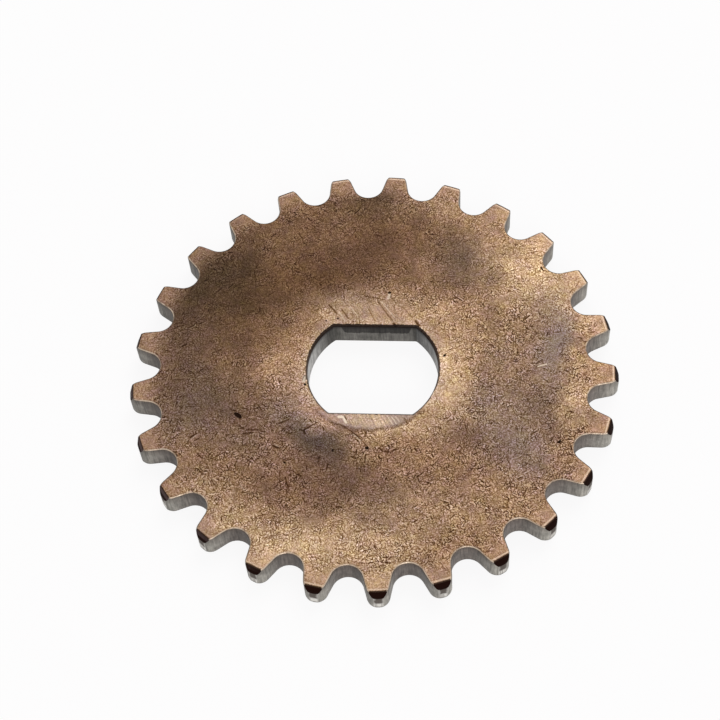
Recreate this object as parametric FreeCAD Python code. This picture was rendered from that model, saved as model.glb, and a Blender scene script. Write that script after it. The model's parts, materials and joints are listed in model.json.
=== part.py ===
import FreeCAD, Part
import math
import os

from FreeCAD import Vector

# A flat steel sprocket for a bush chain: one plate, 25 milled teeth, a turned bevel, a double-D bore.
# Millimetres. The bore's axis is Z, the underside lies at Z = 0 and one tooth points along +X.

# Chain
chain_pitch = 6.35
bush_diameter = 3.30
tooth_count = 25

# Teeth: round seats on the pitch circle, straight flanks and a round crest
seat_clearance = 0.055
flank_angle = 13.4
crest_height = 1.65

# Plate: turned outer diameter, and the bevel that leads the chain on from above
plate_thickness = 3.10
turned_height = 1.57
bevel_width = 0.45
bevel_depth = 0.95

# Broken edge along the teeth, on both faces
edge_break = 0.18

# Bore: a round hole with two flats, pierced from below
bore_diameter = 14.40
bore_across_flats = 11.15
bore_corner_round = 0.40
bore_lower_break = 0.20

# Sizes that follow from the ones above
pitch_angle = 2.0 * math.pi / tooth_count
pitch_radius = chain_pitch / (2.0 * math.sin(pitch_angle / 2.0))
seat_radius = bush_diameter / 2.0 + seat_clearance
crest_radius = pitch_radius + crest_height
turned_radius = pitch_radius + turned_height


def along(angle, length=1.0):
    """Vector of the given length in the plate's plane, at an angle from +X."""
    return Vector(length * math.cos(angle), length * math.sin(angle), 0.0)


def turned(point, angle):
    """The point turned about the bore's axis."""
    cosine, sine = math.cos(angle), math.sin(angle)
    return Vector(cosine * point.x - sine * point.y, sine * point.x + cosine * point.y, point.z)


def mirrored(point):
    """The point on the other side of the tooth that points along +X."""
    return Vector(point.x, -point.y, point.z)


def tooth_points():
    """Flank ends and crest top of the tooth along +X, and the bottom of the seat beside it."""
    facing = math.pi / 2.0 - math.radians(flank_angle)
    outward = along(facing)
    seat_centre = along(pitch_angle / 2.0, pitch_radius)
    flank_foot = seat_centre - outward * seat_radius
    reach = flank_foot.dot(outward)
    crest_centre_x = (crest_radius - reach) / (1.0 - math.cos(facing))
    crest_round = crest_radius - crest_centre_x
    flank_top = Vector(crest_centre_x, 0.0, 0.0) + outward * crest_round
    crest_top = Vector(crest_radius, 0.0, 0.0)
    seat_bottom = along(pitch_angle / 2.0, pitch_radius - seat_radius)
    return flank_foot, flank_top, crest_top, seat_bottom


def toothed_outline():
    """Closed outline of all teeth: flank, crest, flank and seat, once for each tooth."""
    flank_foot, flank_top, crest_top, seat_bottom = tooth_points()
    edges = []
    for tooth in range(tooth_count):
        here = tooth * pitch_angle
        following = here + pitch_angle
        right_foot = turned(mirrored(flank_foot), here)
        right_top = turned(mirrored(flank_top), here)
        left_top = turned(flank_top, here)
        left_foot = turned(flank_foot, here)
        next_foot = turned(mirrored(flank_foot), following)
        edges.append(Part.LineSegment(right_foot, right_top).toShape())
        edges.append(Part.Arc(right_top, turned(crest_top, here), left_top).toShape())
        edges.append(Part.LineSegment(left_top, left_foot).toShape())
        edges.append(Part.Arc(left_foot, turned(seat_bottom, here), next_foot).toShape())
    return Part.Wire(edges)


def toothed_plate():
    """The outline at full thickness, with its sharp edges broken along both faces."""
    plate = Part.Face(toothed_outline()).extrude(Vector(0.0, 0.0, plate_thickness))
    rims = [edge for edge in plate.Edges if edge.BoundBox.ZLength < plate_thickness / 2.0]
    return plate.makeChamfer(edge_break, rims)


def turned_blank():
    """The turned disc that ends the teeth: outer diameter and upper bevel."""
    profile = [
        Vector(0.0, 0.0, 0.0),
        Vector(turned_radius, 0.0, 0.0),
        Vector(turned_radius, 0.0, plate_thickness - bevel_depth),
        Vector(turned_radius - bevel_width, 0.0, plate_thickness),
        Vector(0.0, 0.0, plate_thickness),
    ]
    section = Part.Face(Part.makePolygon(profile + profile[:1]))
    return section.revolve(Vector(0.0, 0.0, 0.0), Vector(0.0, 0.0, 1.0), 360.0)


def bore_punch():
    """The double-D punch that pierces the bore: a round bar with two flats and eased corners."""
    radius = bore_diameter / 2.0
    half_flats = bore_across_flats / 2.0
    overrun = plate_thickness / 2.0
    length = plate_thickness + 2.0 * overrun
    bar = Part.makeCylinder(radius, length, Vector(0.0, 0.0, -overrun))
    slab = Part.makeBox(
        2.0 * bore_diameter,
        bore_across_flats,
        length,
        Vector(-bore_diameter, -half_flats, -overrun),
    )
    punch = bar.common(slab)
    corners = [
        edge
        for edge in punch.Edges
        if edge.BoundBox.ZLength > length / 2.0 and abs(abs(edge.CenterOfMass.y) - half_flats) < 1e-6
    ]
    return punch.makeFillet(bore_corner_round, corners)


def sprocket():
    """The finished plate, pierced, with the bore's lower edge drawn in by the punch."""
    body = toothed_plate().common(turned_blank()).cut(bore_punch())
    bore_reach = bore_diameter / 2.0 + bore_corner_round
    lower_rim = [
        edge
        for edge in body.Edges
        if edge.BoundBox.ZLength < bore_lower_break / 2.0
        and abs(edge.CenterOfMass.z) < bore_lower_break / 2.0
        and edge.CenterOfMass.Length < bore_reach
    ]
    return body.makeChamfer(bore_lower_break, lower_rim)


os.makedirs("parts", exist_ok=True)
plate = sprocket()
plate.exportStep("parts/sprocket.step")
print("valid", plate.isValid(), "solids", len(plate.Solids), "faces", len(plate.Faces))
print("volume", round(plate.Volume, 2), "size", plate.BoundBox)
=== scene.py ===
import bpy
import json
import math

from functools import partial
from mathutils import Matrix, Vector


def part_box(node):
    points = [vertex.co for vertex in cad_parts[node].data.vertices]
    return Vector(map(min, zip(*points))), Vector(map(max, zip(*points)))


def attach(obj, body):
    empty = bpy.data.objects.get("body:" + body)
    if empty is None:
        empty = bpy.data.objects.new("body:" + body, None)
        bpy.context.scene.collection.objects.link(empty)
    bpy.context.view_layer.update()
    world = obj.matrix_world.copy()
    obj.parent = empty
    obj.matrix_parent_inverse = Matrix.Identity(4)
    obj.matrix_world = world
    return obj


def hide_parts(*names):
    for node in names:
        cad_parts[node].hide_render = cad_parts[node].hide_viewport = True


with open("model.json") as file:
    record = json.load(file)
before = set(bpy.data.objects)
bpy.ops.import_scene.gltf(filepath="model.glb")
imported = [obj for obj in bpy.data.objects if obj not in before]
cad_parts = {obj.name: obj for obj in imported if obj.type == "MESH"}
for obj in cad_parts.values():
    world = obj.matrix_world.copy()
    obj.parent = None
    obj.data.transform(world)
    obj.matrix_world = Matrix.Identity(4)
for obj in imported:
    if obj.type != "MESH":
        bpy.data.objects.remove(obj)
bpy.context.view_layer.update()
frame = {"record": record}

# Sprocket plate
# One plate of steel, turned to its outer diameter with a bevel on the upper side, then milled with 25 teeth and
# pierced with a double-D bore. It slides onto a flatted shaft, and nothing else is fixed to it.

# Teeth: each gap is a round seat for a chain bush, on the pitch circle, and each tooth has straight flanks and a
# round crest. One point rule draws all of them in turn.
MM = 0.001
mounts = {mount["name"]: mount for mount in frame["record"]["mounts"]}
plate_low, plate_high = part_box("sprocket")
tooth_count = 25
pitch_radius = mounts["chain_teeth"]["dims"]["pcd_mm"] * MM / 2.0
seat_radius = 1.705 * MM
crest_height = 1.65 * MM
flank_angle = math.radians(13.4)
plate_thickness = plate_high.z - plate_low.z
turned_height = 1.57 * MM
turned_radius = pitch_radius + turned_height


class Tree:
    """Short ways to add nodes to a node tree and wire them."""

    def __init__(self, tree):
        self.tree = tree

    def sockets(self, kind, *names, way="INPUT"):
        """Adds the named sockets of a node group."""
        for name in names:
            self.tree.interface.new_socket(name=name, in_out=way, socket_type=kind)

    def add(self, kind, **settings):
        node = self.tree.nodes.new(kind)
        for name, value in settings.items():
            setattr(node, name, value)
        return node

    def wire(self, value, socket):
        """Links an output to the socket, or sets the plain value on it."""
        if isinstance(value, bpy.types.NodeSocket):
            self.tree.links.new(value, socket)
        else:
            socket.default_value = value

    def fed(self, kind, settings=None, **inputs):
        """Adds a node, wires its inputs by name and returns its first output."""
        node = self.add(kind, **(settings or {}))
        for name, value in inputs.items():
            self.wire(value, node.inputs[name.replace("_", " ")])
        return node.outputs[0]

    def joined(self, *parts):
        """The parts as one geometry."""
        node = self.add("GeometryNodeJoinGeometry")
        for part in parts:
            self.wire(part, node.inputs[0])
        return node.outputs[0]

    def stored(self, geometry, name, value, domain="POINT"):
        """The geometry with the value stored on it as a named attribute."""
        settings = {"data_type": "FLOAT", "domain": domain}
        return self.fed("GeometryNodeStoreNamedAttribute", settings, Geometry=geometry, Name=name, Value=value)

    def finished(self, **outputs):
        """Wires the outputs of a node group and returns its tree."""
        out = self.add("NodeGroupOutput")
        for name, value in outputs.items():
            self.wire(value, out.inputs[name])
        return self.tree

    def maths(self, operation, *values, clamp=False):
        node = self.add("ShaderNodeMath", operation=operation, use_clamp=clamp)
        for value, socket in zip(values, node.inputs):
            self.wire(value, socket)
        return node.outputs[0]

    def spread(self, value, low, high, to_low, to_high):
        """The value mapped from low..high to to_low..to_high, and held at both ends."""
        node = self.add("ShaderNodeMapRange")
        for item, socket in zip((value, low, high, to_low, to_high), node.inputs):
            self.wire(item, socket)
        return node.outputs[0]

    def vector(self, x, y, z):
        node = self.add("ShaderNodeCombineXYZ")
        for item, socket in zip((x, y, z), node.inputs):
            self.wire(item, socket)
        return node.outputs[0]


def split(group, value):
    node = group.add("ShaderNodeSeparateXYZ")
    group.wire(value, node.inputs[0])
    return node.outputs


def closed_outline(group, count, position):
    """Turns a ring of points into a closed curve whose points sit where the rule puts them."""
    ring = group.fed("GeometryNodeMeshCircle", Vertices=count)
    placed = group.fed("GeometryNodeSetPosition", Geometry=ring, Position=position)
    return group.fed("GeometryNodeMeshToCurve", Mesh=placed)


def tooth_outline_group():
    """Node group: the closed outline of all the teeth at the plate's underside."""
    group = Tree(bpy.data.node_groups.new("tooth_outline", "GeometryNodeTree"))
    group.sockets("NodeSocketInt", "Teeth", "Points per Tooth")
    group.sockets("NodeSocketFloat", "Pitch Radius", "Seat Radius", "Crest Radius", "Flank Angle")
    group.sockets("NodeSocketGeometry", "Curve", way="OUTPUT")
    given = group.add("NodeGroupInput").outputs
    m = group.maths
    half_pitch = m("DIVIDE", math.pi, given["Teeth"])
    facing = m("SUBTRACT", math.pi / 2.0, given["Flank Angle"])
    facing_x, facing_y = m("COSINE", facing), m("SINE", facing)
    seat_x = m("MULTIPLY", given["Pitch Radius"], m("COSINE", half_pitch))
    seat_y = m("MULTIPLY", given["Pitch Radius"], m("SINE", half_pitch))
    foot_x = m("SUBTRACT", seat_x, m("MULTIPLY", given["Seat Radius"], facing_x))
    foot_y = m("SUBTRACT", seat_y, m("MULTIPLY", given["Seat Radius"], facing_y))
    reach = m("ADD", m("MULTIPLY", foot_x, facing_x), m("MULTIPLY", foot_y, facing_y))
    crest_x = m("DIVIDE", m("SUBTRACT", given["Crest Radius"], reach), m("SUBTRACT", 1.0, facing_x))
    crest_round = m("SUBTRACT", given["Crest Radius"], crest_x)

    index = group.add("GeometryNodeInputIndex").outputs[0]
    steps = m("DIVIDE", index, given["Points per Tooth"])
    tooth = m("ROUND", steps)
    aside = m("SUBTRACT", steps, tooth)
    share = m("MULTIPLY", m("ABSOLUTE", aside), 2.0)
    crest_share, flank_share = 11.0 / 32.0, 17.0 / 32.0
    crest_angle = group.spread(share, 0.0, crest_share, 0.0, facing)
    seat_angle = group.spread(share, flank_share, 1.0, facing, half_pitch)
    down_flank = group.spread(share, crest_share, flank_share, 0.0, 1.0)

    def between(top, bottom):
        return m("ADD", top, m("MULTIPLY", down_flank, m("SUBTRACT", bottom, top)))

    top_x = m("ADD", crest_x, m("MULTIPLY", crest_round, m("COSINE", crest_angle)))
    top_y = m("MULTIPLY", crest_round, m("SINE", crest_angle))
    low_x = m("SUBTRACT", seat_x, m("MULTIPLY", given["Seat Radius"], m("COSINE", seat_angle)))
    low_y = m("SUBTRACT", seat_y, m("MULTIPLY", given["Seat Radius"], m("SINE", seat_angle)))
    x = between(top_x, low_x)
    y = m("MULTIPLY", between(top_y, low_y), m("SIGN", aside))
    turn = m("MULTIPLY", tooth, m("MULTIPLY", half_pitch, 2.0))
    turned_point = group.fed(
        "ShaderNodeVectorRotate", {"rotation_type": "Z_AXIS"}, Vector=group.vector(x, y, 0.0), Angle=turn
    )
    count = m("MULTIPLY", given["Teeth"], given["Points per Tooth"])
    return group.finished(Curve=closed_outline(group, count, turned_point))


# Bore: a round hole with two flats, pierced from below by a punch with slightly rounded corners
bore_radius = mounts["drive_bore"]["dims"]["r_mm"] * MM
bore_half_flats = 5.575 * MM
bore_corner_round = 0.40 * MM


def bore_outline_group():
    """Node group: the closed outline of the double-D bore at the plate's underside."""
    group = Tree(bpy.data.node_groups.new("bore_outline", "GeometryNodeTree"))
    group.sockets("NodeSocketInt", "Points")
    group.sockets("NodeSocketFloat", "Radius", "Half Flats", "Corner Round")
    group.sockets("NodeSocketGeometry", "Curve", way="OUTPUT")
    given = group.add("NodeGroupInput").outputs
    m = group.maths
    centre_y = m("SUBTRACT", given["Half Flats"], given["Corner Round"])
    inner = m("SUBTRACT", given["Radius"], given["Corner Round"])
    centre_x = m("SQRT", m("SUBTRACT", m("MULTIPLY", inner, inner), m("MULTIPLY", centre_y, centre_y)))
    corner_start = m("ARCTAN2", centre_y, centre_x)

    index = group.add("GeometryNodeInputIndex").outputs[0]
    quarters = m("DIVIDE", index, m("DIVIDE", given["Points"], 4.0))
    share = m("PINGPONG", quarters, 1.0)
    side_x = m("SIGN", m("SUBTRACT", m("ABSOLUTE", m("SUBTRACT", quarters, 2.0)), 1.0))
    side_y = m("SIGN", m("SUBTRACT", 2.0, quarters))
    arc_share, corner_share = 0.50, 0.62
    arc_angle = group.spread(share, 0.0, arc_share, 0.0, corner_start)
    corner_angle = group.spread(share, arc_share, corner_share, corner_start, math.pi / 2.0)
    along_flat = group.spread(share, corner_share, 1.0, 1.0, 0.0)
    on_corner = m("GREATER_THAN", share, arc_share)

    def either(on_arc, off_arc):
        return m("ADD", on_arc, m("MULTIPLY", on_corner, m("SUBTRACT", off_arc, on_arc)))

    arc_x = m("MULTIPLY", given["Radius"], m("COSINE", arc_angle))
    arc_y = m("MULTIPLY", given["Radius"], m("SINE", arc_angle))
    bend_x = m("MULTIPLY", given["Corner Round"], m("COSINE", corner_angle))
    bend_y = m("MULTIPLY", given["Corner Round"], m("SINE", corner_angle))
    corner_x = m("ADD", m("MULTIPLY", centre_x, along_flat), bend_x)
    corner_y = m("ADD", centre_y, bend_y)
    x = m("MULTIPLY", either(arc_x, corner_x), side_x)
    y = m("MULTIPLY", either(arc_y, corner_y), side_y)
    return group.finished(Curve=closed_outline(group, given["Points"], group.vector(x, y, 0.0)))


# Edges and bevel: tumbling and the chain have rolled the edges round
edge_round = 0.20 * MM
bore_upper_round = 0.05 * MM
bevel_width = 0.45 * MM
bevel_depth = 0.95 * MM
shoulder_width = 0.08 * MM
shoulder_depth = 0.06 * MM


def edge_section_group():
    """Node group: a section of the wall from the upper face, round both edges, to the lower face."""
    group = Tree(bpy.data.node_groups.new("edge_section", "GeometryNodeTree"))
    group.sockets("NodeSocketFloat", "Thickness", "Upper Round", "Lower Round", "Land")
    group.sockets("NodeSocketGeometry", "Curve", way="OUTPUT")
    given = group.add("NodeGroupInput").outputs
    m = group.maths
    wall_steps, round_steps = 3, 5
    middle = wall_steps + round_steps + 1
    index = group.add("GeometryNodeInputIndex").outputs[0]
    off_middle = m("SUBTRACT", middle, index)
    upper = m("GREATER_THAN", off_middle, 0.0)
    step = m("ABSOLUTE", off_middle)
    spread_round = m("SUBTRACT", given["Upper Round"], given["Lower Round"])
    radius = m("ADD", given["Lower Round"], m("MULTIPLY", upper, spread_round))
    half = m("MULTIPLY", given["Thickness"], 0.5)
    straight = m("SUBTRACT", half, radius)
    bend = group.spread(step, wall_steps, wall_steps + round_steps, 0.0, math.pi / 2.0)
    on_land = m("MULTIPLY", group.spread(step, middle - 1, middle, 0.0, 1.0), given["Land"])
    inset = m("ADD", m("MULTIPLY", radius, m("SUBTRACT", 1.0, m("COSINE", bend))), on_land)
    rise = m("ADD", group.spread(step, 0.0, wall_steps, 0.0, straight), m("MULTIPLY", radius, m("SINE", bend)))
    depth = m("SUBTRACT", m("MULTIPLY", rise, m("SIGN", m("MULTIPLY", off_middle, -1.0))), half)
    line = group.fed("GeometryNodeMeshLine", Count=2 * middle + 1)
    place = group.vector(m("MULTIPLY", inset, -1.0), depth, 0.0)
    placed = group.fed("GeometryNodeSetPosition", Geometry=line, Position=place)
    return group.finished(Curve=group.fed(
        "GeometryNodeMeshToCurve", Mesh=group.stored(placed, "edge", m("DIVIDE", step, middle))
    ))


def plate_group():
    """Node group: the whole plate, from outline, bore and edge section."""
    group = Tree(bpy.data.node_groups.new("sprocket_plate", "GeometryNodeTree"))
    group.sockets("NodeSocketInt", "Teeth")
    group.sockets(
        "NodeSocketFloat", "Pitch Radius", "Seat Radius", "Crest Radius", "Flank Angle", "Thickness", "Edge Round",
        "Turned Radius", "Bevel Width", "Bevel Depth", "Shoulder Width", "Shoulder Depth",
        "Bore Radius", "Bore Half Flats", "Bore Corner Round", "Bore Upper Round",
    )
    group.sockets("NodeSocketMaterial", "Steel")
    group.sockets("NodeSocketGeometry", "Geometry", way="OUTPUT")
    given = group.add("NodeGroupInput").outputs
    m = group.maths

    def nested(tree, **values):
        return group.fed("GeometryNodeGroup", {"node_tree": tree}, **values)

    section_tree = edge_section_group()
    land = 0.15 * MM
    points_per_tooth, bore_points = 64, 224
    merge_distance = 1e-6
    sharp_angle = math.radians(24.0)

    def wall(outline, upper_round, lower_round, turn_inwards):
        section = nested(
            section_tree, Thickness=given["Thickness"], Upper_Round=upper_round, Lower_Round=lower_round, Land=land
        )
        if turn_inwards:
            section = group.fed("GeometryNodeTransform", Geometry=section, Scale=Vector((-1.0, 1.0, 1.0)))
        up = group.fed("GeometryNodeSetCurveNormal", {"mode": "Z_UP"}, Curve=outline)
        swept = group.fed("GeometryNodeCurveToMesh", Curve=up, Profile_Curve=section)
        return group.fed("GeometryNodeFlipFaces", Mesh=swept) if turn_inwards else swept

    tooth_outline = nested(
        tooth_outline_group(), Teeth=given["Teeth"], Points_per_Tooth=points_per_tooth,
        Pitch_Radius=given["Pitch Radius"], Seat_Radius=given["Seat Radius"],
        Crest_Radius=given["Crest Radius"], Flank_Angle=given["Flank Angle"],
    )
    bore_outline = nested(
        bore_outline_group(), Points=bore_points, Radius=given["Bore Radius"],
        Half_Flats=given["Bore Half Flats"], Corner_Round=given["Bore Corner Round"],
    )
    tooth_wall = wall(tooth_outline, given["Edge Round"], given["Edge Round"], False)
    bore_wall = wall(bore_outline, given["Bore Upper Round"], given["Edge Round"], True)
    walls = group.joined(tooth_wall, bore_wall)

    # The sweep leaves a hole in each face. Its rim is filled and lifted to the face's height.
    open_edge = group.add("FunctionNodeCompare", data_type="INT", operation="EQUAL")
    group.wire(group.add("GeometryNodeInputMeshEdgeNeighbors").outputs[0], open_edge.inputs[2])
    open_edge.inputs[3].default_value = 1
    height = split(group, group.add("GeometryNodeInputPosition").outputs[0])["Z"]
    half = m("MULTIPLY", given["Thickness"], 0.5)
    faces = [walls]
    for is_upper in (True, False):
        both = group.add("FunctionNodeBooleanMath", operation="AND")
        group.wire(open_edge.outputs[0], both.inputs[0])
        group.wire(m("GREATER_THAN" if is_upper else "LESS_THAN", height, half), both.inputs[1])
        loops = group.fed("GeometryNodeMeshToCurve", Mesh=walls, Selection=both.outputs[0])
        face = group.fed("GeometryNodeFillCurve", Curve=loops)
        if is_upper:
            lift = group.vector(0.0, 0.0, given["Thickness"])
            face = group.fed("GeometryNodeTransform", Geometry=face, Translation=lift)
        else:
            face = group.fed("GeometryNodeFlipFaces", Mesh=face)
        faces.append(group.stored(face, "edge", 1.0))
    closed = group.fed("GeometryNodeMergeByDistance", Geometry=group.joined(*faces), Distance=merge_distance)
    edge = group.fed("GeometryNodeInputNamedAttribute", {"data_type": "FLOAT"}, Name="edge")
    kept = group.stored(closed, "rim", edge, "CORNER")

    turned = group.add("GeometryNodeMeshBoolean", operation="INTERSECT", solver="EXACT")
    group.wire(kept, turned.inputs["Mesh 2"])
    group.wire(turned_blank(group, given), turned.inputs["Mesh 2"])
    dented = group.add("GeometryNodeMeshBoolean", operation="DIFFERENCE", solver="EXACT")
    group.wire(turned.outputs["Mesh"], dented.inputs["Mesh 1"])
    group.wire(dent_tools(group, given), dented.inputs["Mesh 2"])
    smooth = group.fed("GeometryNodeSetShadeSmooth", {"domain": "FACE"}, Geometry=dented.outputs["Mesh"])
    angle = group.add("GeometryNodeInputMeshEdgeAngle").outputs[0]
    sharp = group.fed(
        "GeometryNodeSetShadeSmooth", {"domain": "EDGE"}, Geometry=smooth,
        Selection=m("GREATER_THAN", angle, sharp_angle), Shade_Smooth=False,
    )
    real = group.fed("GeometryNodeRealizeInstances", Geometry=sharp)
    return group.finished(Geometry=group.fed("GeometryNodeSetMaterial", Geometry=real, Material=given["Steel"]))


def turned_blank(group, given):
    """The turned disc: a straight drum, the bevel above it and a flatter shoulder where the bevel meets the face."""
    m = group.maths
    below, above = 3.0 * MM, 1.0 * MM
    points_per_tooth, side_rings = 24, 3
    drum_depth = 1.0 * side_rings
    drum = group.fed(
        "GeometryNodeMeshCylinder", Vertices=m("MULTIPLY", given["Teeth"], points_per_tooth),
        Side_Segments=side_rings, Radius=given["Turned Radius"], Depth=drum_depth,
    )
    position = split(group, group.add("GeometryNodeInputPosition").outputs[0])

    def at_ring(ring):
        """One on the ring of points counted from below, nought on the others."""
        return m("COMPARE", position["Z"], ring - drum_depth / 2.0, 0.1)

    break_height = m("SUBTRACT", given["Thickness"], given["Bevel Depth"])
    shoulder_height = m("SUBTRACT", given["Thickness"], given["Shoulder Depth"])
    shoulder_inset = m("SUBTRACT", given["Bevel Width"], given["Shoulder Width"])
    slope = m("DIVIDE", given["Shoulder Width"], given["Shoulder Depth"])
    top_inset = m("ADD", given["Bevel Width"], m("MULTIPLY", slope, above))
    inset = m("ADD", m("MULTIPLY", at_ring(2), shoulder_inset), m("MULTIPLY", at_ring(3), top_inset))
    height = m("MULTIPLY", at_ring(0), -below)
    for ring, level in ((1, break_height), (2, shoulder_height), (3, m("ADD", given["Thickness"], above))):
        height = m("ADD", height, m("MULTIPLY", at_ring(ring), level))
    scale = m("SUBTRACT", 1.0, m("DIVIDE", inset, given["Turned Radius"]))
    x, y = m("MULTIPLY", position["X"], scale), m("MULTIPLY", position["Y"], scale)
    return group.fed("GeometryNodeSetPosition", Geometry=drum, Position=group.vector(x, y, height))


# Dents and pits seen in the photo: centre x and y, half length, half width and depth in millimetres, turn in degrees
dents = [
    (-14.4, -6.10, 0.52, 0.26, 0.10, -38.0),
    (-0.2, -9.85, 0.21, 0.20, 0.12, 0.0),
    (-3.85, -10.2, 0.19, 0.13, 0.08, 80.0),
    (-4.2, 6.6, 0.11, 0.10, 0.05, 0.0),
    (-5.5, 6.3, 0.09, 0.09, 0.05, 0.0),
    (1.45, 10.15, 0.20, 0.15, 0.06, 20.0),
    (-7.45, -1.30, 0.42, 0.20, 0.12, 80.0),
    (-7.35, -2.05, 0.16, 0.14, 0.08, 0.0),
    (7.85, 1.95, 0.22, 0.13, 0.06, 50.0),
    (-8.9, -11.8, 0.20, 0.10, 0.05, -30.0),
    (20.3, -8.6, 0.22, 0.14, 0.05, 40.0),
    (18.6, 13.7, 0.30, 0.09, 0.05, -60.0),
]


def dent_tools(group, given):
    """Small ovals, sunk into the upper face from above, that are cut away from the plate."""
    ball = group.fed("GeometryNodeMeshIcoSphere", Radius=1.0, Subdivisions=4)
    return group.joined(*(
        group.fed(
            "GeometryNodeTransform", Geometry=ball, Translation=group.vector(x * MM, y * MM, given["Thickness"]),
            Rotation=(0.0, 0.0, math.radians(turn)), Scale=(half_length * MM, half_width * MM, depth * MM),
        )
        for x, y, half_length, half_width, depth, turn in dents
    ))


# Finish: heat and oil have tinted the steel tan, with darker and lighter stains placed after the photo.
# A dense web of short fine scratches covers both faces. The milled walls are greyer and the bevels nearly black, and
# painted shade and painted highlights on the walls, edges, bevels, tips and beside the scratches stand in for some of
# the light.
def mixed(amount, first, second):
    """The first colour, blended into the second by the amount."""
    node = shade.add("ShaderNodeMix", data_type="RGBA")
    for value, index in ((amount, 0), (first, 6), (second, 7)):
        shade.wire(value, node.inputs[index])
    return node.outputs[2]


def noise(position, scale, detail=2.0, roughness=0.5, distortion=0.0):
    """Soft noise, with the scale in waves per millimetre."""
    return shade.fed(
        "ShaderNodeTexNoise", Vector=position, Scale=scale, Detail=detail, Roughness=roughness, Distortion=distortion
    )


def vector_maths(group, operation, *values):
    node = group.add("ShaderNodeVectorMath", operation=operation)
    for value, socket in zip(values, node.inputs):
        group.wire(value, socket)
    return node.outputs["Value" if operation in ("LENGTH", "DISTANCE", "DOT_PRODUCT") else "Vector"]


def turned_axes(group, local, angle):
    """Distances along and across a line that is turned by the angle from +X."""
    m = group.maths
    cosine, sine = m("COSINE", angle), m("SINE", angle)
    along = vector_maths(group, "DOT_PRODUCT", local, group.vector(cosine, sine, 0.0))
    across = vector_maths(group, "DOT_PRODUCT", local, group.vector(m("MULTIPLY", sine, -1.0), cosine, 0.0))
    return along, across


def stain_group():
    """Node group: one soft oval stain, as a mask. Along and Across are its axes, each divided by its half size."""
    group = Tree(bpy.data.node_groups.new("stain", "ShaderNodeTree"))
    group.sockets("NodeSocketVector", "Position", "Centre", "Along", "Across")
    group.sockets("NodeSocketFloat", "Strength")
    group.sockets("NodeSocketFloat", "Mask", way="OUTPUT")
    given = group.add("NodeGroupInput").outputs
    m = group.maths
    local = vector_maths(group, "SUBTRACT", given["Position"], given["Centre"])
    along = vector_maths(group, "DOT_PRODUCT", local, given["Along"])
    across = vector_maths(group, "DOT_PRODUCT", local, given["Across"])
    away = m("ADD", m("MULTIPLY", along, along), m("MULTIPLY", across, across))
    return group.finished(Mask=m("MULTIPLY", m("EXPONENT", m("MULTIPLY", away, -0.7)), given["Strength"]))


def stroke_group():
    """Node group: one short, bent scratch at random in each cell of a pattern, and a painted highlight along one side
    of it.
    """
    group = Tree(bpy.data.node_groups.new("scratch_strokes", "ShaderNodeTree"))
    group.sockets("NodeSocketVector", "Position")
    group.sockets("NodeSocketFloat", "Cell", "Length", "Width", "Bend", "Share")
    group.sockets("NodeSocketFloat", "Mask", "Side", way="OUTPUT")
    given = group.add("NodeGroupInput").outputs
    m = group.maths
    cells = group.add("ShaderNodeTexVoronoi", voronoi_dimensions="2D")
    group.wire(given["Position"], cells.inputs["Vector"])
    group.wire(m("DIVIDE", 1.0, given["Cell"]), cells.inputs["Scale"])
    chance = group.add("ShaderNodeSeparateColor")
    group.wire(cells.outputs["Color"], chance.inputs[0])
    local = vector_maths(group, "SUBTRACT", given["Position"], cells.outputs["Position"])
    x, y = turned_axes(group, local, m("MULTIPLY", chance.outputs[0], 2.0 * math.pi))
    bow = m("MULTIPLY", m("MULTIPLY", x, x), m("MULTIPLY", given["Bend"], m("SUBTRACT", chance.outputs[1], 0.5)))
    half = m("MULTIPLY", given["Length"], m("ADD", 0.25, m("MULTIPLY", chance.outputs[1], 0.35)))
    past = m("MAXIMUM", m("SUBTRACT", m("ABSOLUTE", x), half), 0.0)
    off = m("ADD", y, bow)
    there = m("LESS_THAN", chance.outputs[2], given["Share"])
    lines = {}
    # The second line, just beside the scratch, is a painted highlight.
    for name, shift in (("Mask", 0.0), ("Side", 1.05)):
        across = m("SUBTRACT", off, m("MULTIPLY", given["Width"], shift))
        away = m("SQRT", m("ADD", m("MULTIPLY", past, past), m("MULTIPLY", across, across)))
        line = group.spread(m("DIVIDE", away, given["Width"]), 0.2, 0.7, 1.0, 0.0)
        lines[name] = m("MULTIPLY", line, there)
    return group.finished(**lines)


def line_mark_group():
    """Node group: one thin scratch round a middle point, as a mask. Along and Across are its unit axes."""
    group = Tree(bpy.data.node_groups.new("line_mark", "ShaderNodeTree"))
    group.sockets("NodeSocketVector", "Position", "Middle", "Along", "Across")
    group.sockets("NodeSocketFloat", "Half Length", "Width", "Strength")
    group.sockets("NodeSocketFloat", "Mask", way="OUTPUT")
    given = group.add("NodeGroupInput").outputs
    m = group.maths
    local = vector_maths(group, "SUBTRACT", given["Position"], given["Middle"])
    along = m("ABSOLUTE", vector_maths(group, "DOT_PRODUCT", local, given["Along"]))
    across = vector_maths(group, "DOT_PRODUCT", local, given["Across"])
    past = m("MAXIMUM", m("SUBTRACT", along, given["Half Length"]), 0.0)
    away = m("SQRT", m("ADD", m("MULTIPLY", past, past), m("MULTIPLY", across, across)))
    line = group.spread(m("DIVIDE", away, given["Width"]), 0.3, 0.8, 1.0, 0.0)
    return group.finished(Mask=m("MULTIPLY", line, given["Strength"]))


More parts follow.
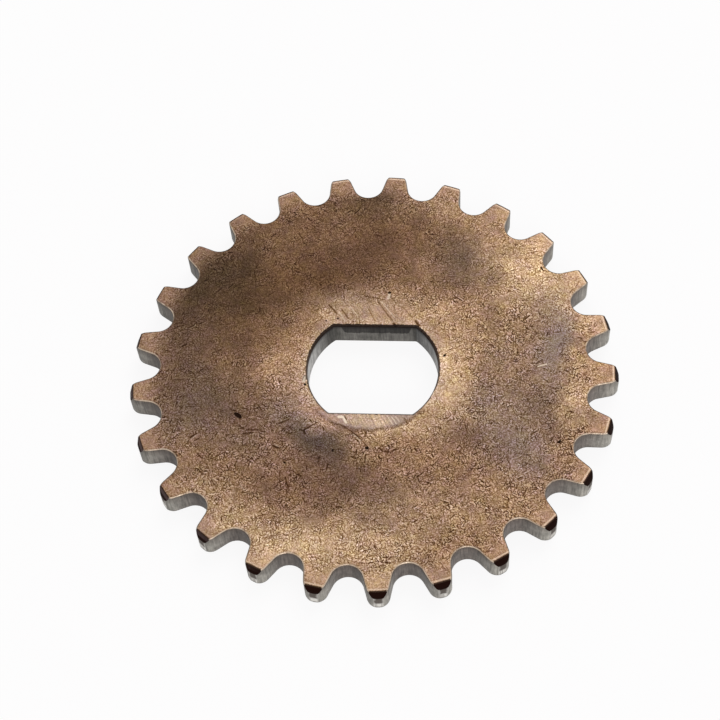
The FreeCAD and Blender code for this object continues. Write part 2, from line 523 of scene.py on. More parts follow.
# Colours of the tint, from the darkest stain to bare metal
OLIVE_BLACK = (0.027, 0.018, 0.0088, 1.0)
UMBER = (0.085, 0.041, 0.0170, 1.0)
PURPLE_BROWN = (0.084, 0.043, 0.032, 1.0)
SLATE_BROWN = (0.110, 0.075, 0.052, 1.0)
BLUE_SLATE = (0.092, 0.070, 0.056, 1.0)
LILAC_GREY = (0.222, 0.170, 0.141, 1.0)
TAN = (0.240, 0.140, 0.082, 1.0)
GOLD = (0.350, 0.215, 0.119, 1.0)
OLIVE_TAN = (0.250, 0.170, 0.105, 1.0)
CREAM = (0.560, 0.395, 0.245, 1.0)
PINK_TAN = (0.430, 0.275, 0.190, 1.0)

# Colours of single places: round the bore, milled walls, bore wall, turned land and bevel, edges, the line round the
# bore and dents
RING_CREAM = (0.470, 0.350, 0.255, 1.0)
RUBBED_GREY = (0.290, 0.212, 0.170, 1.0)
RUBBED_GOLD = (0.400, 0.285, 0.190, 1.0)
SCRATCH_BARE = (0.72, 0.60, 0.47, 1.0)
GAP_SHADE_GREY = (0.215, 0.185, 0.166, 1.0)
TIP_HIGHLIGHT_GREY = (0.44, 0.415, 0.37, 1.0)
WALL_BROWN = (0.125, 0.085, 0.064, 1.0)
WALL_FOOT_SHADOW = (0.050, 0.042, 0.036, 1.0)
BORE_OXIDE = (0.178, 0.168, 0.152, 1.0)
BORE_BARE = (0.52, 0.51, 0.495, 1.0)
BORE_CORNER_DARK = (0.035, 0.033, 0.029, 1.0)
FLAT_SHADE_BLACK = (0.030, 0.027, 0.025, 1.0)
BORE_RIM = (0.016, 0.011, 0.009, 1.0)
LAND_STEEL = (0.78, 0.75, 0.70, 1.0)
LAND_SMUDGE = (0.085, 0.066, 0.054, 1.0)
LAND_FOOT_SHADOW = (0.060, 0.050, 0.042, 1.0)
BEVEL_BLACK = (0.018, 0.0062, 0.0042, 1.0)
BEVEL_SHEEN_PURPLE = (0.100, 0.068, 0.066, 1.0)
TIP_HIGHLIGHT_CREAM = (0.66, 0.50, 0.37, 1.0)
TIP_BLACK = (0.020, 0.011, 0.008, 1.0)
EDGE_SHADED = (0.022, 0.019, 0.015, 1.0)
EDGE_BARE_HIGHLIGHT = (0.82, 0.66, 0.51, 1.0)
BORE_EDGE_BROWN = (0.075, 0.052, 0.040, 1.0)
BORE_EDGE_BLACK = (0.009, 0.004, 0.003, 1.0)
DENT_DIRT = (0.026, 0.012, 0.007, 1.0)

# Centre x and y, half length and half width in millimetres, turn in degrees, colour, strength
stains = [
    (-14.0, 9.8, 9.6, 6.8, 50.0, UMBER, 0.79),
    (-20.5, 10.6, 6.4, 3.2, 65.0, OLIVE_BLACK, 0.70),
    (-15.0, 8.5, 3.0, 3.0, 20.0, OLIVE_BLACK, 0.52),
    (-21.2, 0.8, 4.8, 3.2, 90.0, PURPLE_BROWN, 0.42),
    (-20.2, 0.8, 4.8, 3.4, 90.0, SLATE_BROWN, 0.36),
    (-1.0, 16.5, 7.5, 4.5, 0.0, UMBER, 0.74),
    (-2.0, 15.0, 4.0, 2.5, 0.0, PURPLE_BROWN, 0.35),
    (-6.0, 10.8, 3.8, 2.6, 30.0, UMBER, 0.80),
    (-1.5, 22.6, 4.2, 2.4, 0.0, OLIVE_BLACK, 0.62),
    (7.8, 19.4, 5.0, 4.0, -20.0, UMBER, 0.44),
    (-8.0, 20.5, 6.5, 2.5, 5.0, UMBER, 0.36),
    (-15.6, 13.8, 3.5, 2.5, 45.0, OLIVE_BLACK, 0.42),
    (-10.0, 14.2, 2.6, 2.0, 0.0, UMBER, 0.28),
    (-11.0, 17.0, 4.0, 2.0, 65.0, TAN, 0.20),
    (-5.0, 19.5, 2.5, 1.5, 90.0, TAN, 0.35),
    (10.5, 15.2, 4.6, 3.2, 60.0, SLATE_BROWN, 0.74),
    (17.2, 13.2, 4.4, 2.6, -45.0, CREAM, 0.72),
    (13.2, 18.6, 4.4, 2.4, -35.0, GOLD, 0.55),
    (8.5, 22.3, 4.0, 1.8, -12.0, CREAM, 0.22),
    (5.5, 14.0, 2.2, 2.0, 0.0, TAN, 0.45),
    (14.8, 10.4, 3.0, 1.8, 20.0, CREAM, 0.32),
    (10.0, 10.0, 2.6, 2.0, 0.0, UMBER, 0.14),
    (21.5, 9.0, 2.5, 2.0, 90.0, CREAM, 0.40),
    (19.4, 3.8, 5.2, 1.6, 86.0, LILAC_GREY, 0.90),
    (17.6, 8.8, 3.0, 2.4, 60.0, OLIVE_TAN, 0.40),
    (18.0, -4.8, 3.4, 2.5, 90.0, SLATE_BROWN, 0.50),
    (15.4, -9.2, 4.6, 2.8, -50.0, LILAC_GREY, 0.64),
    (13.5, -3.2, 3.2, 2.2, 0.0, LILAC_GREY, 0.42),
    (14.4, 4.4, 3.0, 3.6, 0.0, OLIVE_TAN, 0.40),
    (22.3, -4.0, 2.8, 1.6, 80.0, CREAM, 0.42),
    (22.8, 1.6, 2.4, 1.5, 90.0, CREAM, 0.28),
    (14.4, 1.6, 1.8, 1.6, 0.0, LILAC_GREY, 0.28),
    (2.6, 10.2, 2.4, 1.2, 0.0, GOLD, 0.30),
    (20.5, -7.0, 2.4, 1.6, 60.0, PURPLE_BROWN, 0.14),
    (16.8, -15.5, 2.6, 1.8, 45.0, GOLD, 0.40),
    (7.6, 6.6, 4.2, 2.2, -25.0, GOLD, 0.22),
    (9.2, 2.5, 2.4, 3.0, 0.0, CREAM, 0.28),
    (8.4, -1.5, 3.6, 1.7, 85.0, CREAM, 0.74),
    (0.5, 7.6, 6.0, 1.5, 0.0, CREAM, 0.22),
    (-0.6, 8.2, 4.2, 1.5, 0.0, LILAC_GREY, 0.36),
    (5.5, 6.4, 2.5, 1.3, 0.0, CREAM, 0.25),
    (-4.6, 6.8, 1.9, 1.1, 35.0, CREAM, 0.50),
    (-8.6, 2.0, 4.4, 2.0, 85.0, GOLD, 0.85),
    (-9.5, -1.0, 3.0, 2.4, 85.0, PINK_TAN, 0.30),
    (-7.7, -3.2, 3.4, 1.7, -60.0, PINK_TAN, 0.78),
    (-5.2, -6.4, 2.6, 0.9, -20.0, PINK_TAN, 0.70),
    (-6.0, -9.0, 4.5, 1.8, -42.0, BLUE_SLATE, 0.84),
    (-4.6, -10.2, 2.4, 1.5, -30.0, OLIVE_BLACK, 0.28),
    (4.0, -7.4, 4.4, 1.3, 12.0, CREAM, 0.58),
    (10.5, -8.5, 3.2, 1.6, -30.0, PURPLE_BROWN, 0.50),
    (4.8, -11.0, 3.8, 1.8, 0.0, GOLD, 0.30),
    (-0.6, -15.0, 5.6, 3.4, -10.0, PURPLE_BROWN, 0.58),
    (-9.5, -13.8, 4.0, 2.8, 0.0, PURPLE_BROWN, 0.26),
    (-17.8, -4.6, 4.0, 3.2, 20.0, SLATE_BROWN, 0.68),
    (-20.6, -8.0, 3.6, 2.6, 60.0, LILAC_GREY, 0.22),
    (-12.0, -7.0, 4.6, 2.2, 0.0, PURPLE_BROWN, 0.36),
    (-14.0, -9.6, 3.0, 1.8, -20.0, LILAC_GREY, 0.24),
    (-7.5, -22.0, 6.5, 2.4, 8.0, CREAM, 0.80),
    (2.0, -21.8, 4.2, 2.0, 0.0, CREAM, 0.34),
    (5.4, -17.2, 6.0, 2.5, 8.0, CREAM, 0.27),
    (13.5, -18.5, 3.4, 2.2, 30.0, CREAM, 0.10),
    (-14.8, -18.4, 5.0, 2.4, -40.0, CREAM, 0.55),
    (-10.0, -6.0, 1.8, 1.4, 0.0, LILAC_GREY, 0.35),
    (-6.4, -6.4, 2.2, 1.0, -40.0, LILAC_GREY, 0.40),
    (1.0, -25.0, 7.5, 1.5, 0.0, CREAM, 0.45),
    (19.6, 16.4, 6.5, 1.8, -50.0, CREAM, 0.42),
    (25.0, 7.5, 3.5, 1.6, -74.0, CREAM, 0.50),
    (-25.2, 0.0, 1.5, 7.0, 0.0, PINK_TAN, 0.35),
]

steel = bpy.data.materials.new("heat_tinted_steel")
steel.use_nodes = True
shade = Tree(steel.node_tree)
m = shade.maths
metal = steel.node_tree.nodes["Principled BSDF"]

# Short names for the sums that the finish is made of
plus, minus, most, size = (partial(m, word) for word in ("ADD", "SUBTRACT", "MAXIMUM", "ABSOLUTE"))
spread = shade.spread


def times(*values):
    """The values multiplied together."""
    product = values[0]
    for value in values[1:]:
        product = m("MULTIPLY", product, value)
    return product


def less(mask, amount=None):
    """One, less the mask or less that amount of it."""
    return minus(1.0, mask if amount is None else m("MULTIPLY", mask, amount))


def rises(value, low, high):
    """Nought below the low value and one above the high value."""
    return spread(value, low, high, 0.0, 1.0)


def falls(value, low, high):
    """One below the low value and nought above the high value."""
    return spread(value, low, high, 1.0, 0.0)


def swing(at, *settings):
    """Noise that swings about nought."""
    return minus(noise(at, *settings), 0.5)


def scaled(colour, red, green, blue):
    """The colour with each of its parts multiplied by a value."""
    return vector_maths(shade, "MULTIPLY", colour, shade.vector(red, green, blue))


def elsewhere(*shift):
    """The position moved to another part of the noise, so that two patterns don't match."""
    return vector_maths(shade, "ADD", position, Vector(shift))


place = shade.add("ShaderNodeTexCoord")
position = vector_maths(shade, "MULTIPLY", place.outputs["Object"], Vector((1000.0, 1000.0, 1000.0)))
where = split(shade, position)
facing = split(shade, place.outputs["Normal"])
flat_place = shade.vector(where["X"], where["Y"], 0.0)
radius = vector_maths(shade, "LENGTH", flat_place)
face = rises(size(facing["Z"]), 0.45, 0.9)
upper_face = plate_thickness / MM
is_upper = m("GREATER_THAN", where["Z"], upper_face / 2.0)

# A slow wander of the position keeps the stains from looking like drawn ovals. On the underside they lie turned.
underside_turn = 2.4
wander_waves, wander_reach = 0.22, 4.5
wander_x = times(swing(position, wander_waves, 3.0), wander_reach)
wander_y = times(swing(elsewhere(31.0, 17.0, 5.0), wander_waves, 3.0), wander_reach)
side_x, side_y = turned_axes(shade, flat_place, times(less(is_upper), underside_turn))
wandered = shade.vector(plus(side_x, wander_x), plus(side_y, wander_y), 0.0)

stain_tree = stain_group()


def stain_mask(at, centre, half_length, half_width, turn, strength):
    """A soft oval: centre, half length and half width in millimetres, turn in degrees."""
    cosine, sine = math.cos(math.radians(turn)), math.sin(math.radians(turn))
    return shade.fed(
        "ShaderNodeGroup", {"node_tree": stain_tree}, Position=at, Centre=(*centre, 0.0),
        Along=(cosine / half_length, sine / half_length, 0.0),
        Across=(-sine / half_width, cosine / half_width, 0.0), Strength=strength,
    )


tint, film, quiet = TAN, 0.0, 0.0
for x, y, half_length, half_width, turn, colour, strength in stains:
    stain = stain_mask(wandered, (x, y), half_length, half_width, turn, strength)
    tint = mixed(stain, tint, colour)
    if colour in (PURPLE_BROWN, LILAC_GREY, BLUE_SLATE, SLATE_BROWN):
        film = most(film, stain)
    if colour in (OLIVE_BLACK, UMBER, CREAM):
        quiet = most(quiet, stain)

tint = mixed(spread(radius, 23.6, 25.2, 0.0, 0.30), tint, PINK_TAN)

# Handling and the shaft have kept a pale ring close round the bore
beyond_bore = most(minus(radius, bore_radius / MM), minus(size(where["Y"]), bore_half_flats / MM))
pale_ring = times(spread(beyond_bore, 0.3, 1.5, 0.60, 0.0), rises(where["Y"], -5.2, -4.2))
tint = mixed(pale_ring, tint, RING_CREAM)

# Clouds of a few millimetres and a drift between golden and mauve, then the fine grain and the scratches
clouds = swing(position, 0.45, 4.0, 0.6)
patches = noise(elsewhere(13.0, 71.0, 3.0), 0.33, 4.0, 0.7)
film = most(film, spread(patches, 0.50, 0.62, 0.0, 0.8))
tint = scaled(tint, minus(1.10, times(film, 0.22)), minus(1.085, times(film, 0.225)), minus(1.025, times(film, 0.165)))
drift = swing(elsewhere(57.0, 23.0, 11.0), 0.9, 4.0, 0.75)
coarse_grain = swing(position, 2.2, 2.0, 0.6, 0.4)
fine_grain = swing(position, 6.5, 1.0, 0.5, 0.3)
stroke_tree = stroke_group()


def strokes(offset, cell, length, width, bend, share):
    """Masks of a web of short scratches and of the painted highlights beside them."""
    node = shade.add("ShaderNodeGroup", node_tree=stroke_tree)
    shade.wire(vector_maths(shade, "ADD", flat_place, Vector(offset)), node.inputs["Position"])
    for name, value in (("Cell", cell), ("Length", length), ("Width", width), ("Bend", bend), ("Share", share)):
        node.inputs[name].default_value = value
    return node.outputs["Mask"], node.outputs["Side"]


# Shift of the pattern, then its cell, length and width in millimetres, its bend and the share of cells in use
long_hairs, long_highlights = strokes((3.1, 8.7, 0.0), 0.36, 0.44, 0.110, 4.0, 0.85)
short_hairs, short_highlights = strokes((15.7, 2.9, 0.0), 0.25, 0.28, 0.097, 6.0, 0.80)
hairs, hair_highlights = most(long_hairs, short_hairs), most(long_highlights, short_highlights)
glints, _ = strokes((4.9, 26.3, 0.0), 0.27, 0.28, 0.097, 4.0, 0.75)
marks, mark_highlights = strokes((7.7, 1.3, 0.0), 0.95, 0.55, 0.15, 2.2, 0.34)
long_marks, long_mark_highlights = strokes((21.3, 11.9, 0.0), 2.8, 1.0, 0.14, 0.5, 0.16)
marks, mark_highlights = most(marks, long_marks), most(mark_highlights, long_mark_highlights)

# Scratches seen in the photo: start x and y, end x and y in millimetres, width, strength
dark_scratches = [
    (-4.0, -7.0, -3.2, -7.0, 0.13, 0.4),
    (-3.2, -7.0, -1.95, -7.84, 0.14, 0.7),
    (-1.95, -7.84, -1.14, -8.53, 0.15, 0.95),
    (-1.14, -8.53, -0.2, -9.6, 0.15, 0.8),
    (-5.7, -6.8, -6.4, -7.3, 0.15, 0.85),
    (-6.4, -7.3, -7.15, -7.83, 0.19, 1.0),
    (-7.15, -7.85, -6.94, -8.24, 0.18, 1.0),
    (-7.2, -7.83, -7.55, -7.76, 0.17, 0.9),
    (-9.87, -7.02, -8.82, -6.5, 0.17, 0.9),
    (1.1, -9.8, 1.5, -10.2, 0.17, 0.9),
    (1.5, -10.2, 2.4, -10.3, 0.15, 0.75),
    (2.4, -10.3, 2.9, -9.8, 0.17, 0.8),
    (3.7, -6.1, 4.1, -6.8, 0.15, 0.7),
    (-2.8, -6.0, -2.6, -6.35, 0.20, 1.0),
    (-0.8, 7.9, 0.0, 6.3, 0.14, 0.6),
    (0.2, 8.9, 1.9, 6.4, 0.14, 0.6),
    (-5.3, 8.4, -4.4, 7.3, 0.17, 0.85),
    (-3.8, 7.8, -3.0, 6.6, 0.15, 0.8),
    (-1.3, 9.7, 0.9, 9.2, 0.14, 0.6),
    (2.9, 8.4, 4.1, 6.9, 0.13, 0.5),
    (-13.3, -7.9, -12.1, -7.87, 0.17, 0.85),
    (-13.6, -8.36, -12.7, -8.2, 0.18, 0.9),
    (-19.35, -9.0, -18.75, -8.48, 0.19, 0.95),
    (-18.3, -10.9, -17.8, -11.5, 0.17, 0.8),
    (-10.2, -9.8, -9.76, -10.04, 0.20, 1.0),
    (-8.68, -13.6, -8.3, -14.9, 0.17, 0.9),
    (-5.33, -11.6, -5.16, -10.9, 0.17, 0.85),
    (-4.4, -12.5, -4.25, -11.9, 0.17, 0.85),
    (-7.35, -13.2, -7.05, -13.35, 0.22, 0.9),
    (-12.5, -4.6, -11.75, -5.5, 0.14, 0.7),
    (-14.6, -5.6, -15.0, -5.45, 0.18, 0.8),
    (-21.4, 2.6, -20.95, 2.9, 0.20, 0.9),
    (21.5, -4.85, 21.75, -5.0, 0.24, 0.9),
    (2.1, 6.0, 2.35, 5.7, 0.30, 1.0),
    (4.5, 6.4, 4.9, 5.8, 0.26, 1.0),
]
light_scratches = [
    (-3.4, -6.05, -2.95, -6.1, 0.28, 0.85),
    (-2.95, -6.1, -2.6, -6.75, 0.22, 0.85),
    (1.9, -5.95, 2.5, -6.95, 0.11, 0.30),
    (2.3, -5.95, 2.85, -6.8, 0.12, 0.40),
    (2.7, -5.9, 3.15, -6.55, 0.10, 0.28),
    (-1.75, -8.2, -0.9, -8.95, 0.13, 0.25),
    (1.45, 9.95, 1.35, 9.4, 0.28, 0.5),
    (-4.1, 7.5, -3.4, 6.3, 0.13, 0.32),
    (0.6, 8.9, 2.1, 6.9, 0.12, 0.25),
    (-2.9, 8.2, -2.0, 7.0, 0.13, 0.25),
    (-7.5, -1.6, -7.42, -1.1, 0.34, 0.9),
    (18.1, 0.73, 19.0, 1.02, 0.14, 0.65),
    (-19.2, -9.15, -18.6, -8.6, 0.11, 0.20),
    (-9.7, -9.85, -10.05, -9.65, 0.12, 0.22),
    (-13.45, -14.6, -12.9, -15.15, 0.11, 0.22),
]
line_tree = line_mark_group()


def line_mask(start, end, width, strength):
    """A scratch from start to end, in millimetres."""
    start, end = Vector((*start, 0.0)), Vector((*end, 0.0))
    along = (end - start).normalized()
    return shade.fed(
        "ShaderNodeGroup", {"node_tree": line_tree}, Position=flat_place, Middle=(start + end) / 2.0, Along=along,
        Across=(-along.y, along.x, 0.0), Half_Length=(end - start).length / 2.0, Width=width, Strength=strength,
    )


dark_lines, light_lines = 0.0, 0.0
for start_x, start_y, end_x, end_y, width, strength in dark_scratches:
    dark_lines = most(dark_lines, line_mask((start_x, start_y), (end_x, end_y), width, strength))
for start_x, start_y, end_x, end_y, width, strength in light_scratches:
    light_lines = most(light_lines, line_mask((start_x, start_y), (end_x, end_y), width, strength))
dark_lines = times(dark_lines, is_upper)
light_lines = times(light_lines, is_upper)

# A fitting has rubbed a crescent below the bore and a patch above it: smoother there, with slanting brush lines
along_brush, across_brush = turned_axes(shade, position, math.radians(-62.0))
brush_lines = noise(shade.vector(times(along_brush, 0.25), times(across_brush, 4.6), 0.0), 1.0, 3.0, 0.65)
crescent_radius = 8.15
ring_place = vector_maths(shade, "ADD", flat_place, Vector((0.3, -0.5, 0.0)))
ring_radius = plus(vector_maths(shade, "LENGTH", ring_place), times(clouds, 0.7))
below = times(falls(where["Y"], -5.6, -5.2), is_upper)
rubbed = times(falls(ring_radius, crescent_radius - 0.25, crescent_radius), below)
slanted_x = plus(where["X"], times(where["Y"], 0.45))
golden = times(rubbed, times(rises(slanted_x, -5.9, -5.3), falls(slanted_x, -1.2, -0.4)))
golden = times(golden, rises(plus(where["Y"], times(clouds, 0.8)), -7.5, -6.8))
above = times(stain_mask(flat_place, (-0.6, 7.9), 3.9, 1.5, -12.0, 0.9), is_upper)
brushed = most(rubbed, above, clamp=True)
ring_border = times(falls(size(minus(ring_radius, crescent_radius)), 0.08, 0.32), falls(where["Y"], -6.2, -4.6))
tint = mixed(times(rubbed, 0.85), tint, RUBBED_GREY)
tint = mixed(times(golden, 0.85), tint, RUBBED_GOLD)
tint = mixed(stain_mask(flat_place, (-4.2, -6.3), 1.0, 0.45, -20.0, 0.7), tint, PINK_TAN)
ring_ledge = times(falls(size(minus(ring_radius, crescent_radius + 0.4)), 0.05, 0.30), rises(where["X"], -0.5, 1.0))
tint = mixed(times(ring_ledge, falls(where["Y"], -6.6, -5.6), 0.5), tint, CREAM)
tint = mixed(times(ring_border, 0.5), tint, PURPLE_BROWN)
brush_level = times(minus(brush_lines, 0.48), plus(times(golden, 2.4), times(above, 1.6)))

# How strongly each kind of mark darkens or lightens the steel
coarse_share, fine_share = 1.7, 3.8
hair_share, hair_highlight_share, glint_share = 0.78, 0.36, 0.72
mark_share, mark_highlight_share, line_share = 0.80, 0.45, 0.88

# The teeth are wiped cleaner by the chain than the field between them and the bore
on_teeth = rises(plus(radius, times(clouds, 3.0)), 24.2, 25.6)
calm = times(less(on_teeth, 0.50), less(brushed, 0.6))
calm = times(calm, spread(beyond_bore, 0.5, 3.5, 0.72, 1.03))
calm = times(calm, minus(1.07, times(quiet, 0.42)))
busy = spread(noise(elsewhere(5.0, 9.0, 41.0), 0.9, 3.0, 0.6), 0.35, 0.65, 0.62, 1.32)
calm = times(calm, busy, less(film, 0.45))
grit = plus(times(coarse_grain, coarse_share), times(fine_grain, fine_share))
# The lighter strip beside each scratch is a painted highlight.
grit = plus(grit, plus(times(glints, glint_share), times(hair_highlights, hair_highlight_share)))
fine = plus(1.070, times(grit, calm))
fine = times(fine, less(times(hairs, calm), hair_share))
# The lighter strip beside each long mark is a painted highlight.
fine = plus(fine, times(mark_highlights, calm, mark_highlight_share))
fine = times(fine, less(times(marks, calm), mark_share))
fine = times(fine, less(dark_lines, line_share))
fine = most(fine, 0.08)
slow = plus(plus(1.0, times(clouds, 0.95)), brush_level)
mauve = plus(0.992, times(drift, 0.78))
golden_side = minus(0.983, times(drift, 0.20))
face_colour = scaled(
    tint,
    times(slow, m("POWER", fine, 0.78)),
    times(slow, golden_side, m("POWER", fine, 0.98)),
    times(slow, mauve, m("POWER", fine, 1.28)),
)
face_colour = mixed(light_lines, face_colour, SCRATCH_BARE)

# Milled walls: painted shade makes them dark grey-brown in the gaps and a painted highlight makes them bright towards
# the tips, with streaks along the cutter's travel
streaks = noise(vector_maths(shade, "MULTIPLY", position, Vector((1.0, 1.0, 0.08))), 4.6, 3.0, 0.7)
streaks = spread(streaks, 0.3, 0.7, 0.60, 1.40)
blotches = spread(noise(position, 1.3, 3.0, 0.6), 0.3, 0.7, 0.8, 1.2)
towards_tip = rises(radius, 24.0, 26.5)
# Painted shade in the gaps, painted highlight towards the tips.
wall_tint = mixed(towards_tip, GAP_SHADE_GREY, TIP_HIGHLIGHT_GREY)
wall_tint = mixed(spread(where["Z"], 1.7, 3.0, 0.0, 0.45), wall_tint, WALL_BROWN)
# Painted shadow along the foot of the wall, where it meets the table.
wall_tint = mixed(spread(where["Z"], 0.12, 0.30, 0.85, 0.0), wall_tint, WALL_FOOT_SHADOW)

# Bore wall: dark oxide, darker in the corners, with painted shade on the upper part of the flats
in_bore = falls(radius, 10.0, 12.0)
# Painted shade: the upper part of each flat, with a ragged lower border, is nearly black.
flat_span = falls(plus(size(minus(where["X"], 0.15)), times(minus(where["Z"], 2.4), -0.3)), 3.7, 3.85)
flat_top = rises(plus(where["Z"], times(swing(position, 1.1, 3.0, 0.7), 0.9)), 1.72, 1.84)
flat_shade = times(flat_span, flat_top, m("GREATER_THAN", size(where["Y"]), 5.4))
bore_steel = mixed(rises(most(times(facing["X"], -1.7), facing["X"]), 0.70, 1.0), BORE_OXIDE, BORE_BARE)
# Darker in the corners and on the round sides next to them.
bore_corner_dark = times(rises(size(where["X"]), 3.7, 4.5), falls(size(facing["X"]), 0.72, 0.95))
bore_steel = mixed(times(bore_corner_dark, 0.72), bore_steel, BORE_CORNER_DARK)
bore_tint = mixed(times(flat_shade, 0.88), bore_steel, FLAT_SHADE_BLACK)
bore_tint = mixed(spread(where["Z"], 2.45, 3.0, 0.0, 0.85), bore_tint, BORE_RIM)
wall_tint = mixed(in_bore, wall_tint, bore_tint)
# Painted shade: the walls are darker where they face left, and darker towards the left side of the plate.
wall_marks_and_shade = times(streaks, blotches, spread(facing["X"], -0.9, 0.4, 0.66, 1.08))
wall_marks_and_shade = times(wall_marks_and_shade, most(spread(where["X"], -24.0, 24.0, 0.68, 0.90), in_bore))
wall_colour = scaled(wall_tint, wall_marks_and_shade, wall_marks_and_shade, wall_marks_and_shade)

# Turned surface at the ends of the teeth: bare land with a brown smudge, black film on the bevel above, and a painted
# purple-grey sheen on the upper part of the bevels that face left
break_height = (plate_thickness - bevel_depth) / MM
shoulder_height = (plate_thickness - shoulder_depth) / MM
over_break = most(minus(where["Z"], break_height), 0.0)
over_shoulder = minus(where["Z"], shoulder_height)
shoulder_radius = (turned_radius - bevel_width + shoulder_width) / MM
main_slope = (turned_radius / MM - shoulder_radius) / (shoulder_height - break_height)
cone_radius = m(
    "MINIMUM", minus(turned_radius / MM, times(over_break, main_slope)),
    minus(shoulder_radius, times(over_shoulder, shoulder_width / shoulder_depth)),
)
turned_skin = falls(minus(cone_radius, radius), 0.01, 0.04)
pitch_angle = 2.0 * math.pi / tooth_count
tooth_turn = m("DIVIDE", m("ARCTAN2", where["Y"], where["X"]), pitch_angle)
aside = size(times(minus(tooth_turn, m("ROUND", tooth_turn)), pitch_angle * turned_radius / MM))
film_foot = plus(break_height - 0.02, times(aside, aside, 0.25))
above_foot = minus(where["Z"], film_foot)
on_bevel = times(turned_skin, rises(above_foot, -0.03, 0.05))
uneven = times(swing(position, 1.6, 2.0), 0.5)
smudge = times(falls(plus(aside, uneven), 0.30, 0.70), rises(plus(where["Z"], uneven), 0.8, 1.2))
smudge = most(smudge, times(hairs, 0.5))
land_colour = mixed(times(smudge, 0.95), LAND_STEEL, LAND_SMUDGE)
# Painted shadow along the foot of the land, where it meets the table.
land_colour = mixed(spread(where["Z"], 0.10, 0.35, 0.8, 0.0), land_colour, LAND_FOOT_SHADOW)
wall_colour = mixed(turned_skin, wall_colour, land_colour)
# Painted sheen: the upper part of the bevels that face left turns purple-grey.
painted_bevel_sheen = times(rises(where["Z"], 2.52, 2.62), falls(facing["X"], -0.75, -0.35))
bevel_colour = mixed(painted_bevel_sheen, BEVEL_BLACK, BEVEL_SHEEN_PURPLE)
wall_colour = mixed(on_bevel, wall_colour, bevel_colour)
top_radius = (turned_radius - bevel_width) / MM
from_tip = minus(top_radius, radius)
tip_film = times(falls(from_tip, 0.03, 0.10), is_upper)
# Painted highlight: a thin light line just inside the top of the bevel, fading out on the teeth at the left.
tip_highlight = times(falls(size(minus(from_tip, 0.20)), 0.04, 0.12), times(is_upper, rises(where["X"], -20.0, -8.0)))
face_colour = mixed(times(tip_highlight, 0.70), face_colour, TIP_HIGHLIGHT_CREAM)
face_colour = mixed(times(tip_film, 0.85), face_colour, TIP_BLACK)

# The edges along the teeth are rubbed bare; a painted highlight makes them bright where they face the front and
# painted shade makes them dark where they face away
rim = shade.add("ShaderNodeAttribute", attribute_name="rim")
worn_edge = times(rises(rim.outputs["Fac"], 0.50, 0.66), falls(rim.outputs["Fac"], 0.72, 0.86))
worn_edge = times(worn_edge, less(turned_skin), less(in_bore))
edge_highlight = falls(facing["Y"], -0.15, 0.30)
edge_colour = mixed(edge_highlight, EDGE_SHADED, EDGE_BARE_HIGHLIGHT)
colour = mixed(face, wall_colour, face_colour)
broken = spread(noise(position, 1.4, 3.0, 0.7), 0.38, 0.58, 0.25, 0.95)
colour = mixed(times(worn_edge, broken), colour, edge_colour)

# A ragged dark line runs round the bore's upper edge, widest and blackest along the far flat
ragged = times(swing(position, 2.6, 3.0), 0.30)
bore_edge_width = plus(spread(where["Y"], -2.0, 3.5, 0.14, 0.33), ragged)
at_edge = rises(where["Z"], upper_face - 0.2, upper_face - 0.1)
bore_edge_line = times(falls(minus(beyond_bore, bore_edge_width), -0.03, 0.03), at_edge)
bore_edge_colour = mixed(rises(where["Y"], -2.0, 3.5), BORE_EDGE_BROWN, BORE_EDGE_BLACK)
colour = mixed(times(bore_edge_line, 0.97), colour, bore_edge_colour)

# Dents and pits are the only new surface on the upper face that has no rim value: dirt has filled them
dented = times(falls(rim.outputs["Fac"], 0.05, 0.20), less(turned_skin))
dented = times(dented, rises(where["Z"], upper_face - 0.14, upper_face - 0.13))
dented = times(dented, less(light_lines))
colour = mixed(times(dented, 0.92), colour, DENT_DIRT)

shade.wire(colour, metal.inputs["Base Color"])
dark_edge = most(times(worn_edge, less(edge_highlight)), dented)
bare_metal, dark_metal, bare_roughness = 0.7, 0.3, 0.46
shade.wire(plus(bare_metal, times(most(on_bevel, dark_edge), dark_metal)), metal.inputs["Metallic"])
rough = minus(plus(bare_roughness, times(fine_grain, 0.3)), times(brushed, 0.08))
rough = minus(rough, times(worn_edge, 0.12))
shade.wire(plus(rough, times(most(dark_edge, times(on_bevel, 0.5)), 0.4)), metal.inputs["Roughness"])
metal.inputs["Specular IOR Level"].default_value = 0.3
metal.inputs["Specular Tint"].default_value = (0.62, 0.62, 0.62, 1.0)
bump = shade.add("ShaderNodeBump")
bump.inputs["Strength"].default_value = 0.4
bump.inputs["Distance"].default_value = 0.00003
relief = minus(times(fine_grain, 0.6), times(most(hairs, marks), 0.6))
relief = times(plus(relief, times(brush_lines, brushed)), face)
shade.wire(relief, bump.inputs["Height"])
shade.wire(bump.outputs[0], metal.inputs["Normal"])

plate_mesh = bpy.data.meshes.new("sprocket_plate")
maker = bpy.data.objects.new("plate_maker", plate_mesh)
bpy.context.scene.collection.objects.link(maker)
modifier = maker.modifiers.new("plate", "NODES")
modifier.node_group = plate_group()
plate_sizes = {
    "Teeth": tooth_count,
    "Pitch Radius": pitch_radius,
    "Seat Radius": seat_radius,
    "Crest Radius": pitch_radius + crest_height,
    "Flank Angle": flank_angle,
    "Thickness": plate_thickness,
    "Edge Round": edge_round,
    "Turned Radius": turned_radius,
    "Bevel Width": bevel_width,
    "Bevel Depth": bevel_depth,
    "Shoulder Width": shoulder_width,
    "Shoulder Depth": shoulder_depth,
    "Bore Radius": bore_radius,
    "Bore Half Flats": bore_half_flats,
    "Bore Corner Round": bore_corner_round,
    "Bore Upper Round": bore_upper_round,
    "Steel": steel,
}
for item in modifier.node_group.interface.items_tree:
    if item.in_out == "INPUT" and item.name in plate_sizes:
        modifier[item.identifier] = plate_sizes[item.name]
depsgraph = bpy.context.evaluated_depsgraph_get()
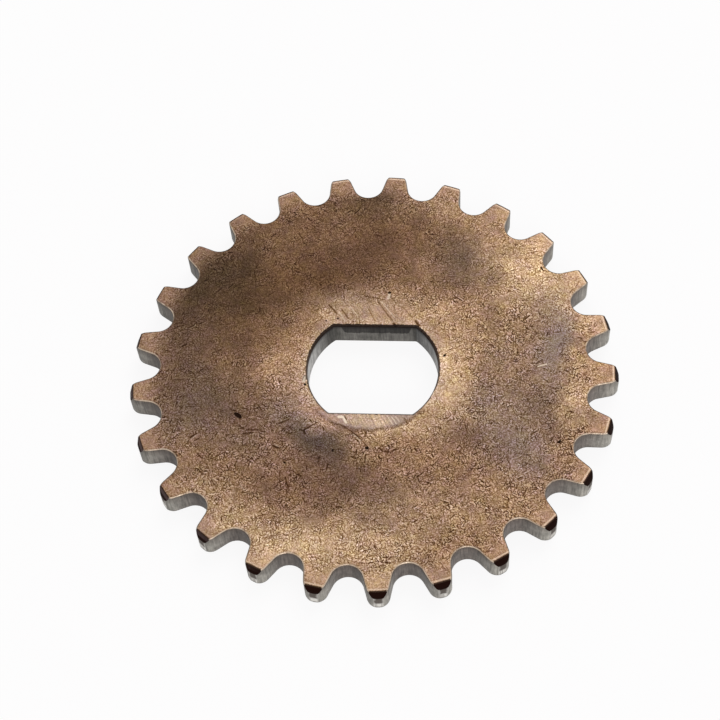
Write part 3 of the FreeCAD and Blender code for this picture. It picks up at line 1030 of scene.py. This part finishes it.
plate_mesh = bpy.data.meshes.new_from_object(maker.evaluated_get(depsgraph))
bpy.data.objects.remove(maker)
plate = bpy.data.objects.new("sprocket_plate", plate_mesh)
bpy.context.scene.collection.objects.link(plate)

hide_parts("sprocket")
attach(plate, "root")

# Photographer's table
# A pale, matt table top and soft light from all round. The camera stands in front and looks down at the plate.
floor_edge = 12.0
floor_mesh = bpy.data.meshes.new("table")
floor_corners = [(x * floor_edge, y * floor_edge, 0.0) for x, y in ((-1, -1), (1, -1), (1, 1), (-1, 1))]
floor_mesh.from_pydata(floor_corners, [], [(0, 1, 2, 3)])
floor = bpy.data.objects.new("table", floor_mesh)
bpy.context.scene.collection.objects.link(floor)
table_paint = bpy.data.materials.new("table_white")
table_paint.use_nodes = True
paint = Tree(table_paint.node_tree)
matt = table_paint.node_tree.nodes["Principled BSDF"]
matt.inputs["Base Color"].default_value = (0.88, 0.88, 0.87, 1.0)
matt.inputs["Roughness"].default_value = 0.9
glow = paint.add("ShaderNodeEmission")
glow.inputs["Color"].default_value = (1.0, 0.995, 0.998, 1.0)
blend = paint.add("ShaderNodeMixShader")
ray = paint.add("ShaderNodeLightPath").outputs
seen = paint.maths("MAXIMUM", ray["Is Glossy Ray"], ray["Is Transmission Ray"])
seen = paint.maths("MAXIMUM", ray["Is Camera Ray"], seen)
glow_share = 0.9
paint.wire(paint.maths("MULTIPLY", seen, glow_share), blend.inputs[0])
paint.wire(matt.outputs[0], blend.inputs[1])
paint.wire(glow.outputs[0], blend.inputs[2])
paint.wire(blend.outputs[0], table_paint.node_tree.nodes["Material Output"].inputs["Surface"])
floor_mesh.materials.append(table_paint)

world = bpy.data.worlds.new("studio")
world.use_nodes = True
sky = world.node_tree.nodes["Background"].inputs
sky["Color"].default_value = (1.0, 1.0, 1.0, 1.0)
sky["Strength"].default_value = 0.58
bpy.context.scene.world = world


def soft_box(name, place, side, power):
    """A square lamp that looks at the plate."""
    data = bpy.data.lights.new(name, "AREA")
    data.size = side
    data.energy = power
    lamp = bpy.data.objects.new(name, data)
    lamp.location = place
    lamp.rotation_euler = Vector(place).to_track_quat("Z", "Y").to_euler()
    bpy.context.scene.collection.objects.link(lamp)


soft_box("soft_box_back", (0.25, 0.75, 0.9), 0.8, 5.5)
soft_box("soft_box_front", (0.25, -0.9, 0.6), 0.5, 3.0)

# The camera was fitted to the tooth tips, the gap bottoms and the bore, in tip radii and radians
tip_radius = 26.986 * MM
azimuth, elevation, roll = 0.12549475, 1.01651040, -0.09132090
distance = 7.15644641 * tip_radius
target = Vector((-0.06295871 * tip_radius, 0.11445136 * tip_radius, 0.0))
focal_pixels, photo_pixels = 1718.2117, 720.0
back = Vector((math.sin(azimuth) * math.cos(elevation), -math.cos(azimuth) * math.cos(elevation), math.sin(elevation)))
right = Vector((0.0, 0.0, 1.0)).cross(back).normalized()
up = back.cross(right)
lens_right = math.cos(roll) * right + math.sin(roll) * up
lens_up = math.cos(roll) * up - math.sin(roll) * right
camera_data = bpy.data.cameras.new("camera")
camera_data.sensor_width = 36.0
camera_data.lens = focal_pixels / photo_pixels * camera_data.sensor_width
camera_data.clip_start = 0.01
camera = bpy.data.objects.new("camera", camera_data)
turn = Matrix((lens_right, lens_up, back)).transposed().to_4x4()
camera.matrix_world = Matrix.Translation(target + back * distance) @ turn
bpy.context.scene.collection.objects.link(camera)
bpy.context.scene.camera = camera
bpy.context.scene.view_settings.view_transform = "Standard"
